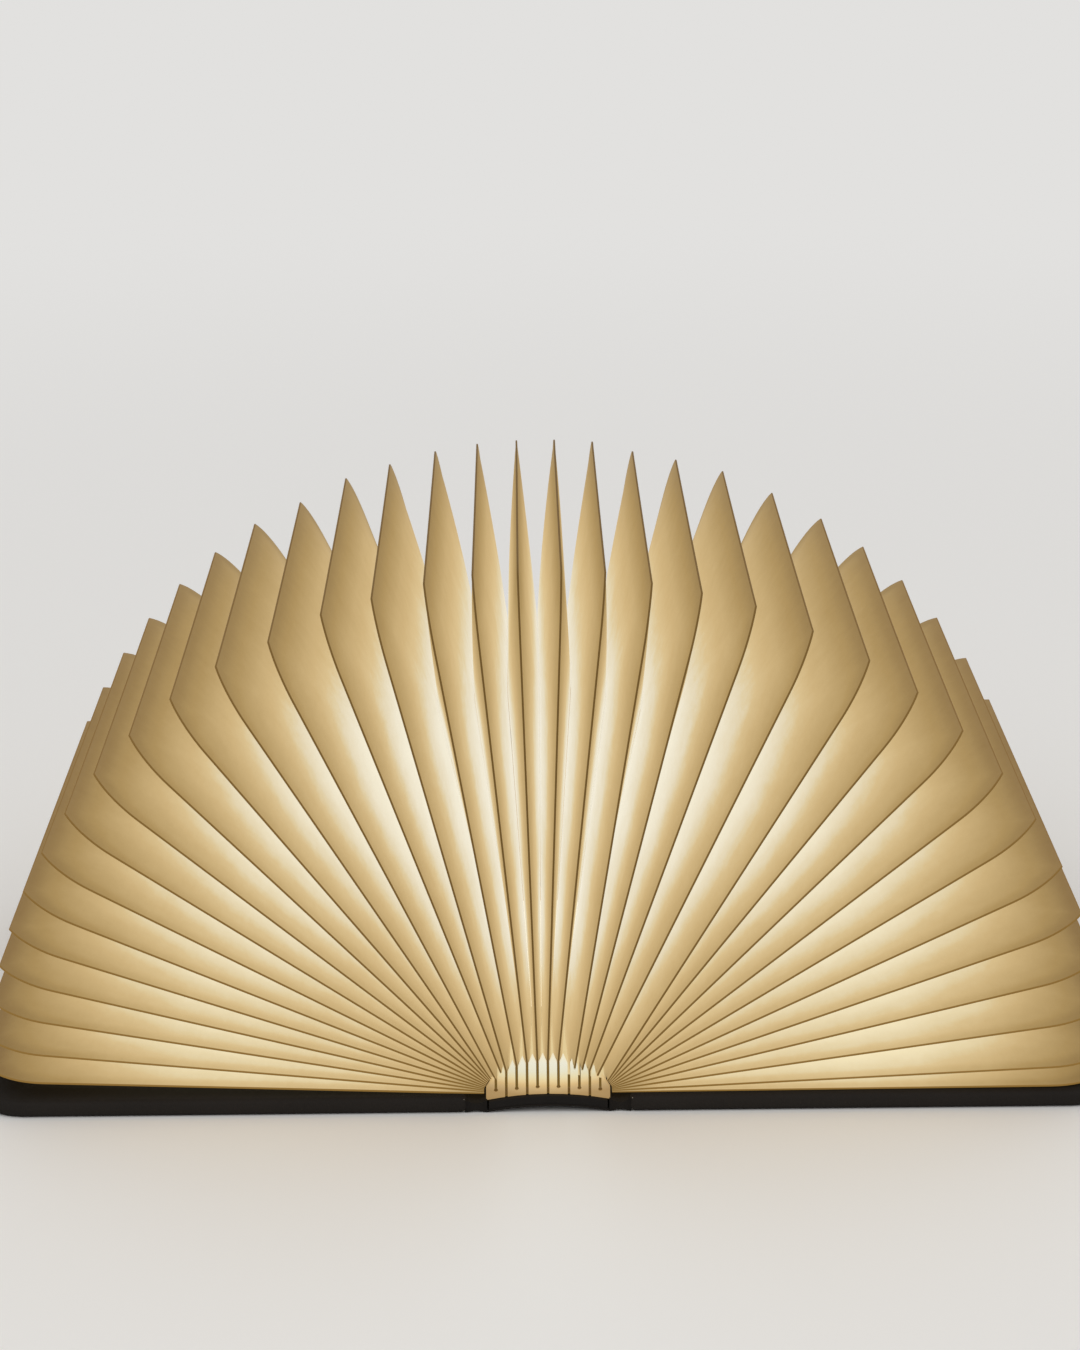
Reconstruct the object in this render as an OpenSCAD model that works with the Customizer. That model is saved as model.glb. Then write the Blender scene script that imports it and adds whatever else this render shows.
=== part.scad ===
// A book-shaped lamp, open at 180 degrees on its two covers, its pages spread into a fan.
// Lengths in mm, +Z up. The spine runs along Y, the head edge faces -Y, the right cover lies on +X.
// Origin: on the ground plane, under the middle of the spine.

/* [Pages] */
// Length of a page from its root at the spine to the fore edge
page_length = 94.2; // [60:0.5:140]
// Height of a page along the spine
page_height = 116.5; // [80:0.5:200]
// Depth of the fold, from the glued rim of a leaf to the valley between two leaves
fold_depth = 31; // [10:0.5:40]
// Radius of the curve in the head and tail edges before the fore edge
page_corner_r = 12.8; // [2:0.1:20]
// How far that curve turns before it meets the fore edge at a corner, in degrees
page_corner_turn = 58.5; // [20:0.5:90]
// Radius of the corner of the valley line
valley_corner_r = 2; // [0.5:0.5:8]
// Thickness of one translucent sheet
sheet_t = 0.15; // [0.1:0.01:0.3]
// Pitch of the page roots stacked beside the comb, right side
stack_pitch_right = 0.2; // [0.15:0.01:0.4]
// Pitch of the page roots stacked beside the comb, left side
stack_pitch_left = 0.25; // [0.15:0.01:0.4]

/* [Covers] */
// Height of a cover along the spine
cover_height = 120; // [90:0.5:210]
// Distance from the spine's middle to the fore edge of a cover
cover_reach = 108.6; // [80:0.1:160]
// Thickness of a cloth-wrapped cover
cover_t = 3.2; // [2:0.1:5]
// Radius of the outer corners of a cover
cover_corner_r = 10; // [2:0.5:16]
// Thickness of the covering cloth
cloth_t = 0.4; // [0.2:0.05:0.8]
// Width of the cloth turned in over the inner face
turn_in = 12; // [6:0.5:20]

/* [Fold joints] */
// Distance of the fold axis from the spine's middle
fold_x = 13.6; // [10:0.1:25]
// Height of the fold axis, the middle of the cover's thickness
fold_z = 1.6; // [0.5:0.1:3]
// Distance from the fold axis to the cover's inner edge
fold_gap = 1.8; // [1:0.1:4]

/* [Spine and comb] */
// Half width of the flexible spine strip
strip_half = 11.5; // [8:0.1:20]
// Height of the top of the spine strip at its middle
arch_top = 3.2; // [2.5:0.1:6]
// How fast the spine strip falls away from its middle, per mm squared
arch_fall = 0.0085; // [0.004:0.0005:0.012]
// Thickness of the spine strip without its cloth
core_t = 1.55; // [1:0.05:2]
// Half width of the comb
comb_half = 11.7; // [8:0.1:20]
// Depth of a comb along the spine
comb_depth = 1.6; // [1:0.1:6]
// Distance between two neighbouring blocks of the comb
block_pitch = 3.94; // [3:0.02:6]
// Width of the slot in each block
slot_w = 0.5; // [0.4:0.05:1]
// Width of the gap between two blocks
gap_w = 0.5; // [0.4:0.05:1]
// Diameter of the round keyhole at the foot of each slot
keyhole_d = 0.8; // [0.5:0.1:1.5]
// Height of the middle prongs above the ground
prong_top = 11; // [8:0.5:16]
// Depth of the mouth between two prongs, which makes both of them pointed
mouth_depth = 1.65; // [0.5:0.05:3]

/* [Light and power] */
// Half length of the tray that carries the cell and the lights
tray_half = 25.5; // [20:0.5:26]
// Number of light emitters in a row
emitters = 9; // [4:1:10]

/* [Hidden] */
$fn = 48;
pages = 33;
clear = 0.03;
half_h = page_height / 2;
half_c = cover_height / 2;
cover_in = fold_x + fold_gap;
comb_y = half_h + 0.35;
slot_foot = 4.9;
inlet_roof = 8.35;
web_t = 0.7;
wave = [5.1, 2.32, 1.27, -2.64, -0.57, 0.29];
magnet_x = cover_reach - 8.6;
end_lift = 2.1;
cream = [0.93, 0.82, 0.62];
black = [0.05, 0.045, 0.04];
milk = [0.95, 0.93, 0.86];
steel = [0.72, 0.72, 0.74];
green = [0.1, 0.35, 0.2];

// Where each page stands

// Sum of the waves that bunch the pages a little at the top and at both sides.
function ripple(u, i = 0) = i == len(wave) ? 0 : wave[i] * sin(180 * (i + 1) * u) + ripple(u, i + 1);
function even(k) = let (u = (k - 1) / (pages - 1)) 2.6 + 171.7 * u + ripple(u);
// How far a page has slipped out of its slot or gap, and how deep the notch is that it ends in.
function slip(k) = k == 11 ? -0.55 : k == 13 ? 0.55 : k == 14 ? 1.1 : k == 21 ? 0.98 : 0;
function notch(k) = k == 11 ? 1.3 : k == 13 ? 2.1 : k == 14 ? 2.3 : 0.9;
// A slipped page leans back, so that its fore edge stays in its place.
function inside(k) = even(k) + (k < 20 ? asin(slip(k) * sin(even(k)) / page_length) : 0);
// Angle of page k above the right cover. Whole numbers are ridges, halves are valleys.
function angle(k) = k < 0 ? 0
    : k > pages + 1 ? 180
    : k < 1 ? 0.25 + (inside(1) - 0.25) * k
    : k > pages ? inside(pages) + (180 - end_lift - inside(pages)) * (k - pages)
    : inside(k);

// Top of the spine strip, tips of the prongs and outer side of the comb.
function arch(x) = arch_top - arch_fall * x * x;
function tip(x) = prong_top - 0.02 * x * x - 0.0002 * pow(x, 4);
function side(z) = comb_half - 0.61 * max(0, z - 4.3);

// Roots beside the comb are stacked from the cover's inner face upwards.
function stack_root(j, pitch) = let (z = j < 0 ? cover_t + 0.02 : cover_t + 0.12 + (0.12 + pitch) * min(j, 1) +
    pitch * max(0, j - 1)) [side(z) + 0.25, z];
// Roots in the comb sit in a slot, in a gap or, when slipped, in a notch of their own.
function comb_x(k) = (k <= 21 ? 16 - k : -5) * block_pitch / 2 + slip(k);
function comb_root(k) = let (x = comb_x(k)) [x, tip(x) - (slip(k) == 0 ? 1.2 : notch(k) - 0.15)];
function mirror_x(p) = [-p[0], p[1]];
function ridge_root(k) = k <= 10 ? stack_root(k, stack_pitch_right)
    : k <= 22 ? comb_root(k)
    : mirror_x(stack_root(pages + 1 - k, stack_pitch_left));
function root(k) = k < 0 ? stack_root(-1, stack_pitch_right)
    : k > pages + 1 ? mirror_x(stack_root(-1, stack_pitch_left))
    : k == floor(k) ? ridge_root(k)
    : (ridge_root(floor(k)) + ridge_root(ceil(k))) / 2;

// Where the sheets of page k begin along the page, at the head end and at the tail end.
function ridge_start(k, tail) = k <= 10 || k >= 23 ? 0.15 : slip(k) != 0 ? 0.1
    : (tail && abs(k - 16) < 2.6 ? inlet_roof : slot_foot) - comb_root(k)[1];
function start(k, tail) = k < 0 || k > pages + 1 ? 0.15 : k == floor(k) ? ridge_start(k, tail)
    : tail && abs(k - 16) < 2.6 ? inlet_roof - root(k)[1]
    : (ridge_start(floor(k), tail) + ridge_start(ceil(k), tail)) / 2;

// A point of plane k at distance r from its root, y along the spine. Below the root it hangs straight.
function place(k, r, y) = let (p = root(k), a = angle(k))
    r < 0 ? [p[0], y, p[1] + r] : [p[0] + r * cos(a), y, p[1] + r * sin(a)];

// One leaf: two sheets joined on the outer rim, open to the hollow middle

arc_steps = [0, 0.2, 0.4, 0.6, 0.8, 1];
runs = [0.3, 0.66];
// Rim path and valley path of a leaf as [r, y] pairs for one end, from the root to the corner:
// straight, then round a curve of radius rc that turns by the angle turn.
function first_r(k, tail) = let (s = start(k, tail)) [s, s < 0 ? 0 : s + 3];
function path(k, reach, inset, rc, turn, tail) = let (straight = reach - rc * sin(turn)) concat(
    [for (r = first_r(k, tail)) [r, inset]],
    [for (f = runs) [f * straight, inset]],
    [for (t = arc_steps) [straight + rc * sin(t * turn), inset + rc * (1 - cos(t * turn))]]);
function flip(list) = [for (i = [len(list) - 1 : -1 : 0]) list[i]];
function whole(k, reach, inset, rc, turn) = concat(
    [for (p = path(k, reach, inset, rc, turn, false)) [p[0], p[1] - half_h]],
    [[reach, 0]],
    [for (p = flip(path(k, reach, inset, rc, turn, true))) [p[0], half_h - p[1]]]);
function rim(k) = whole(k, page_length, 0, page_corner_r, page_corner_turn);
function valley(k) = whole(k, page_length - fold_depth, fold_depth, valley_corner_r, 90);

// Section of leaf k at one station: rim point, then the valley points of both sheets.
function section(k, o, a, b) = let (
    rim_p = place(k, o[0], o[1]),
    mid_a = place(k, a[0], a[1]), mid_b = place(k, b[0], b[1]),
    va = place(k + 0.5, a[0], a[1]), vb = place(k - 0.5, b[0], b[1]),
    wa = norm(va - mid_a), wb = norm(vb - mid_b),
    na = (va - mid_a) / wa, nb = (vb - mid_b) / wb,
    ta = min(sheet_t, wa - clear - 0.012), tb = min(sheet_t, wb - clear - 0.012),
    f = min(ta / wa, tb / wb))
    [rim_p, va - clear * na, va - (clear + ta) * na,
     rim_p + f * ((mid_a + mid_b) / 2 - rim_p),
     vb - (clear + tb) * nb, vb - clear * nb];

module leaf(k) {
    o = rim(k);
    a = valley(k + 0.5);
    b = valley(k - 0.5);
    n = len(o);
    points = [for (i = [0 : n - 1]) each section(k, o[i], a[i], b[i])];
    walls = [for (i = [0 : n - 2], j = [0 : 5]) let (p = i * 6 + j, q = i * 6 + (j + 1) % 6)
        each (j == 2 || j == 5) ? [[p, q, p + 6], [q, q + 6, p + 6]] : [[p, q, q + 6], [p, q + 6, p + 6]]];
    e = (n - 1) * 6;
    ends = [[0, 2, 1], [0, 3, 2], [0, 4, 3], [0, 5, 4],
        [e, e + 1, e + 2], [e, e + 2, e + 3], [e, e + 3, e + 4], [e, e + 4, e + 5]];
    polyhedron(points = points, faces = concat(walls, ends));
}

// Helpers

module box(x0, x1, y0, y1, z0, z1) translate([x0, y0, z0]) cube([x1 - x0, y1 - y0, z1 - z0]);

// Extrudes a profile drawn in X and Z along Y, from y0 to y1.
module along(y0, y1) translate([0, y1, 0]) rotate([90, 0, 0]) linear_extrude(height = y1 - y0) children();

// Cover plan: square at the spine, round at the fore edge, drawn on the right side.
module cover_plan(grow, z0, z1) {
    r = cover_corner_r + grow;
    x1 = cover_reach + grow;
    y1 = half_c + grow;
    box(cover_in - grow, x1 - r, -y1, y1, z0, z1);
    box(x1 - r - 1, x1, -y1 + r, y1 - r, z0, z1);
    for (s = [-1, 1]) translate([x1 - r, s * (y1 - r), z0]) cylinder(r = r, h = z1 - z0);
}

module arch_band(x1, top, bottom) {
    n = 12;
    polygon(concat(
        [for (i = [0 : n]) let (x = -x1 + 2 * x1 * i / n) [x, arch(x) + top]],
        [for (i = [n : -1 : 0]) let (x = -x1 + 2 * x1 * i / n) [x, arch(x) + bottom]]));
}

// Spine

module spine_core() color(black) along(-59.4, 59.4) arch_band(strip_half - 0.3, 0, -core_t);

module spine_cloth() color(black) along(-59.6, 59.6) arch_band(strip_half, -core_t - 0.01, -core_t - 0.45);

module comb_outline() {
    n = 24;
    x1 = 10.2;
    polygon(concat(
        [for (i = [0 : 8]) let (x = -comb_half + 2 * comb_half * i / 8) [x, arch(x) + 0.12]],
        [[comb_half, 4.3]],
        [for (i = [n : -1 : 0]) let (x = -x1 + 2 * x1 * i / n) [x, tip(x)]],
        [[-comb_half, 4.3]]));
}

// V-shaped notch in the top edge, its foot a little wider than a page.
module vee(x, depth, foot, flare, y0, y1) {
    over = 1.6;
    w = foot + flare * (depth + over);
    along(y0, y1) polygon([[x - foot, tip(x) - depth], [x + foot, tip(x) - depth],
        [x + w, tip(x) + over], [x - w, tip(x) + over]]);
}

// Slots and gaps with flared mouths, and the notches of the slipped pages.
module comb_cuts(y0, y1, closed_half) {
    for (i = [-5 : 5]) {
        x = i * block_pitch / 2;
        gap = abs(i) % 2 == 0;
        w = gap ? gap_w : slot_w;
        low = abs(x) < closed_half ? inlet_roof - 0.1 : gap ? 0 : slot_foot - 0.05 - 0.15 * abs(i);
        box(x - w / 2, x + w / 2, y0, y1, low, 20);
        if (!gap && abs(x) >= closed_half)
            translate([x, y1, low]) rotate([90, 0, 0]) cylinder(d = keyhole_d, h = y1 - y0, $fn = 24);
        vee(x, abs(i) == 5 ? mouth_depth / 2 : mouth_depth, w / 2, 0.41, y0, y1);
    }
    for (k = [11, 13, 14, 21]) vee(comb_x(k), notch(k), 0.16, 0.2, y0, y1);
}

// A thin web behind the blocks keeps them one flexible piece.
module comb_web(y0, y1) along(y0, y1) polygon(concat(
    [for (i = [0 : 8]) let (x = -comb_half + 2 * comb_half * i / 8) [x, arch(x) + 0.12]],
    [[comb_half, 4.0], [-comb_half, 4.0]]));

module comb_head() color(milk) union() {
    difference() {
        along(-comb_y, -comb_y + comb_depth) comb_outline();
        comb_cuts(-comb_y - 1, -comb_y + comb_depth + 1, 0);
    }
    comb_web(-comb_y + comb_depth - web_t, -comb_y + comb_depth);
}

// The tail comb is bridged over the charging inlet.
module comb_tail() color(milk) difference() {
    union() {
        difference() {
            along(comb_y - comb_depth, comb_y) comb_outline();
            comb_cuts(comb_y - comb_depth - 1, comb_y + 1, 4.5);
        }
        comb_web(comb_y - comb_depth, comb_y - comb_depth + web_t);
    }
    box(-4.62, 4.62, comb_y - comb_depth - 1, comb_y + 1, 4.0, 7.4);
}

// Light and power

module cell_tray() color(milk) difference() {
    box(-10.4, 10.4, -tray_half, tray_half, 2.45, 7.4);
    box(-9.6, 9.6, -tray_half + 1, tray_half - 1, 2, 6.6);
    box(-11, 11, -tray_half - 1, tray_half + 1, 2, arch_top + 0.05);
    box(-3, 3, tray_half - 2, tray_half + 1, 2, 5.6);
}

module battery_cell() color(steel) box(-9.3, 9.3, -tray_half + 2, tray_half - 2, 3.3, 6.4);

module cell_leads() color([0.7, 0.1, 0.08]) for (x = [-1.4, 1.4])
    translate([x, tray_half - 1.98, 4.55]) rotate([-90, 0, 0])
        cylinder(r = 0.4, h = 35 - tray_half, $fn = 24);

module light_board() color(green) box(-6, 6, -tray_half + 1, tray_half - 1, 7.42, 8.4);

module light_emitters() color([0.98, 0.9, 0.55]) for (i = [0 : emitters - 1], x = [-2.6, 2.6])
    translate([x, (i / (emitters - 1) - 0.5) * (2 * tray_half - 8.5), 8.42 + 0.35])
        cube([2.8, 3.5, 0.7], center = true);

module light_diffuser() color(milk) difference() {
    box(-7.2, 7.2, -tray_half + 0.2, tray_half - 0.2, 7.42, 10.6);
    box(-6.4, 6.4, -tray_half + 0.8, tray_half - 0.8, 7, 9.8);
    box(-2.4, 2.4, tray_half - 2, tray_half + 1, 7, 8.8);
}

module light_lead() color([0.85, 0.5, 0.15]) {
    y = tray_half + 0.2;
    box(-2, 2, y - 2, y + 0.2, 8.42, 8.6);
    box(-2, 2, y, y + 0.2, 5.12, 8.6);
    box(-2, 2, y, 34.4, 5.12, 5.3);
    box(-2, 2, 34, 34.4, 4.12, 5.3);
}

module charge_board() color(green) box(-8.6, 8.6, 31, 54.4, 3.4, 4.1);

module charge_inlet() color(steel) {
    w = 8.94;
    h = 3.16;
    difference() {
        translate([0, 58.5, 4.12 + h / 2]) rotate([90, 0, 0]) pill(w, h, 7.3);
        translate([0, 58.6, 4.12 + h / 2]) rotate([90, 0, 0]) pill(w - 0.6, h - 0.6, 6.4);
    }
    box(-3.35, 3.35, 51.6, 57.6, 4.12 + h / 2 - 0.35, 4.12 + h / 2 + 0.35);
}

module pill(w, h, d) {
    r = h / 2 - 0.2;
    for (s = [-1, 1]) translate([s * (w / 2 - h / 2), 0, 0]) cylinder(r = h / 2, h = d);
    translate([-(w - h) / 2, -h / 2, 0]) cube([w - h, h, d]);
}

module hall_sensor() color([0.15, 0.15, 0.15]) box(-7.6, -4.7, 35, 36.6, 4.12, 4.7);

// Covers

module board() difference() {
    union() {
        cover_plan(-cloth_t - 0.02, cloth_t + 0.02, cover_t - cloth_t - 0.02);
        box(cover_in + turn_in + 0.05, cover_reach - turn_in - 0.05, -half_c + turn_in + 0.05,
            half_c - turn_in - 0.05, 1, cover_t - 0.02);
    }
    for (y = [-40, 40]) translate([magnet_x, y, 0]) cylinder(d = 8.1, h = 2.2);
    translate([19.5, 35.8, 0]) cylinder(d = 4.1, h = 2.2);
}

module cloth() difference() {
    cover_plan(0, 0, cover_t);
    cover_plan(-cloth_t, cloth_t, cover_t - cloth_t);
    box(cover_in + turn_in, cover_reach - turn_in, -half_c + turn_in, half_c - turn_in, 1, cover_t + 1);
}

module magnets() for (y = [-40, 40]) translate([magnet_x, y, cloth_t + 0.05]) cylinder(d = 8, h = 1.7);

module joint_cloth() box(strip_half + 0.22, cover_in - 0.06, -59.4, 59.4, 0.3, 2.35);

module right_cover_board() color([0.62, 0.52, 0.38]) board();
module right_cover_cloth() color(black) cloth();
module right_end_leaf() color(cream) leaf(0);
module right_cover_magnets() color(steel) magnets();
module right_joint_cloth() color(black) joint_cloth();

module left_cover_board() color([0.62, 0.52, 0.38]) mirror([1, 0, 0]) board();
module left_cover_cloth() color(black) mirror([1, 0, 0]) cloth();
module left_end_leaf() color(cream) leaf(pages + 1);
module left_cover_magnets() color(steel) mirror([1, 0, 0]) magnets();
module left_joint_cloth() color(black) mirror([1, 0, 0]) joint_cloth();

module sensor_magnet() color(steel) translate([-19.5, 35.8, cloth_t + 0.05]) cylinder(d = 4, h = 1.7);

// Free pages, counted from the right cover

module page_01() color(cream) leaf(1);
module page_02() color(cream) leaf(2);
module page_03() color(cream) leaf(3);
module page_04() color(cream) leaf(4);
module page_05() color(cream) leaf(5);
module page_06() color(cream) leaf(6);
module page_07() color(cream) leaf(7);
module page_08() color(cream) leaf(8);
module page_09() color(cream) leaf(9);
module page_10() color(cream) leaf(10);
module page_11() color(cream) leaf(11);
module page_12() color(cream) leaf(12);
module page_13() color(cream) leaf(13);
module page_14() color(cream) leaf(14);
module page_15() color(cream) leaf(15);
module page_16() color(cream) leaf(16);
module page_17() color(cream) leaf(17);
module page_18() color(cream) leaf(18);
module page_19() color(cream) leaf(19);
module page_20() color(cream) leaf(20);
module page_21() color(cream) leaf(21);
module page_22() color(cream) leaf(22);
module page_23() color(cream) leaf(23);
module page_24() color(cream) leaf(24);
module page_25() color(cream) leaf(25);
module page_26() color(cream) leaf(26);
module page_27() color(cream) leaf(27);
module page_28() color(cream) leaf(28);
module page_29() color(cream) leaf(29);
module page_30() color(cream) leaf(30);
module page_31() color(cream) leaf(31);
module page_32() color(cream) leaf(32);
module page_33() color(cream) leaf(33);

spine_core();
spine_cloth();
comb_head();
comb_tail();
cell_tray();
battery_cell();
cell_leads();
light_board();
light_emitters();
light_diffuser();
light_lead();
charge_board();
charge_inlet();
hall_sensor();
right_cover_board();
right_cover_cloth();
right_end_leaf();
right_cover_magnets();
right_joint_cloth();
left_cover_board();
left_cover_cloth();
left_end_leaf();
left_cover_magnets();
left_joint_cloth();
sensor_magnet();
page_01();
page_02();
page_03();
page_04();
page_05();
page_06();
page_07();
page_08();
page_09();
page_10();
page_11();
page_12();
page_13();
page_14();
page_15();
page_16();
page_17();
page_18();
page_19();
page_20();
page_21();
page_22();
page_23();
page_24();
page_25();
page_26();
page_27();
page_28();
page_29();
page_30();
page_31();
page_32();
page_33();
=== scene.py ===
"""Folding book lamp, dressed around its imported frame.

The lamp lies open on its two covers. A fan of hollow leaves, each made of two translucent sheets
joined on their outer rim, glows between them, lit from the spine. Lengths in the classes are in
millimetres, in the frame of the solids; meshes are written in metres.
"""

from __future__ import annotations

import logging
import math
from dataclasses import dataclass, field
from enum import Enum
from typing import Sequence

import bmesh
import bpy
import numpy as np
from mathutils import Matrix, Vector


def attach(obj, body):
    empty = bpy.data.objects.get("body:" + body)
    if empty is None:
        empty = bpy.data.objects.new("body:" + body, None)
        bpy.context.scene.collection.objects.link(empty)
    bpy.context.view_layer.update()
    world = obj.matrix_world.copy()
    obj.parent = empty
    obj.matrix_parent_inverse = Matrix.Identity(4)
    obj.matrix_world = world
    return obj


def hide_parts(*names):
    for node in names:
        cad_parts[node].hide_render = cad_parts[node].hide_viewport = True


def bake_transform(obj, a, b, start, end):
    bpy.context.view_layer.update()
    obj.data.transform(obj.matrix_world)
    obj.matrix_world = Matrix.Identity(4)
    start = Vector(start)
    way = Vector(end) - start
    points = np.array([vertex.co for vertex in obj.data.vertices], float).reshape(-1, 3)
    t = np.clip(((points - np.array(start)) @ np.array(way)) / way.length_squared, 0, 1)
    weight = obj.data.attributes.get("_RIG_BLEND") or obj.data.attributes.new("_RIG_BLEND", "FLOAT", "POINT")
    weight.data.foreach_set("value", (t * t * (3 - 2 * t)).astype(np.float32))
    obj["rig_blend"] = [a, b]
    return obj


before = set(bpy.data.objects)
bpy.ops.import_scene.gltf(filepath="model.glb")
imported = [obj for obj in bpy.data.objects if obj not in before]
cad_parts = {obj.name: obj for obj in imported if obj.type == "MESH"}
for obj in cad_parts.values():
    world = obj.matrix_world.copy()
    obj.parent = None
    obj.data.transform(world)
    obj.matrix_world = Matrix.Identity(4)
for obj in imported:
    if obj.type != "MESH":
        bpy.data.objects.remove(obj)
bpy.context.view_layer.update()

log = logging.getLogger("book_lamp")

Point = tuple[float, float, float]
Colour = tuple[float, float, float]
Stops = tuple[tuple[float, float], ...]
Tones = tuple[tuple[float, Colour], ...]

# The middle of a smooth step, and half of its width
Step = tuple[float, float]

# Metres in a millimetre
MM = 0.001

# Sizes that several classes share, in millimetres
PRONG_TOP = 11.0
COMB_FACE = 58.6
STRIP_HALF = 11.5
STRIP_TOP = 3.2
COVER_INNER = 15.4
COVER_THICK = 3.2

# How prongs and strip fall away from the middle: by the square of x, and by its fourth power
PRONG_FALL = 0.02
PRONG_BEND = 0.0002
STRIP_FALL = 0.0085


class Side(Enum):
    """The two halves of the open book, with the sign of their X."""

    RIGHT = 1
    LEFT = -1

    @property
    def word(self) -> str:
        """Name of the side as the solids write it."""
        return self.name.lower()

    @property
    def cover(self) -> str:
        """Body of the cover on this side."""
        return f"{self.word}_cover"


class End(Enum):
    """The two ends of the spine, with the sign of their Y."""

    HEAD = -1
    TAIL = 1

    @property
    def word(self) -> str:
        """Name of the end as the solids write it."""
        return self.name.lower()


def ease(t: float) -> float:
    """Smooth rise from 0 to 1, level at both ends."""
    t = max(0.0, min(1.0, t))
    return t * t * (3 - 2 * t)


# Shader language


class Signal:
    """A value that runs through a shader: one output socket with the operators of arithmetic."""

    def __init__(self, graph: Graph, socket: bpy.types.NodeSocket) -> None:
        """Wrap an output socket of a graph."""
        self.graph = graph
        self.socket = socket

    def _math(self, operation: str, *values: Signal | float) -> Signal:
        """Result of one Math node."""
        return self.graph.node("ShaderNodeMath", {"operation": operation}, dict(enumerate(values)))

    def __add__(self, other: Signal | float) -> Signal:
        """Sum."""
        return self._math("ADD", self, other)

    def __radd__(self, other: float) -> Signal:
        """Sum, reflected."""
        return self._math("ADD", other, self)

    def __sub__(self, other: Signal | float) -> Signal:
        """Difference."""
        return self._math("SUBTRACT", self, other)

    def __rsub__(self, other: float) -> Signal:
        """Difference, reflected."""
        return self._math("SUBTRACT", other, self)

    def __mul__(self, other: Signal | float) -> Signal:
        """Product."""
        return self._math("MULTIPLY", self, other)

    def __rmul__(self, other: float) -> Signal:
        """Product, reflected."""
        return self._math("MULTIPLY", other, self)

    def __truediv__(self, other: Signal | float) -> Signal:
        """Quotient."""
        return self._math("DIVIDE", self, other)

    def __rtruediv__(self, other: float) -> Signal:
        """Quotient, reflected."""
        return self._math("DIVIDE", other, self)

    def __pow__(self, other: Signal | float) -> Signal:
        """Power."""
        return self._math("POWER", self, other)

    def __neg__(self) -> Signal:
        """Negative."""
        return self._math("MULTIPLY", self, -1.0)

    def above(self, limit: float, soft: float) -> Signal:
        """Smooth step from 0 to 1, one half at the limit and complete within "soft" of it."""
        values = {0: self, 1: limit - soft, 2: limit + soft, 3: 0.0, 4: 1.0}
        return self.graph.node("ShaderNodeMapRange", {"interpolation_type": "SMOOTHSTEP"}, values)

    def swing(self) -> Signal:
        """A noise from 0 to 1, moved down to swing about 0."""
        return self - 0.5

    def most(self, other: Signal | float) -> Signal:
        """The greater of two values."""
        return self._math("MAXIMUM", self, other)

    def wave(self) -> Signal:
        """Sine of the value, in radians."""
        return self._math("SINE", self)

    def grey(self) -> Signal:
        """A grey colour read as one number."""
        return self.graph.node("ShaderNodeSeparateColor", None, {0: self})


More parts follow.
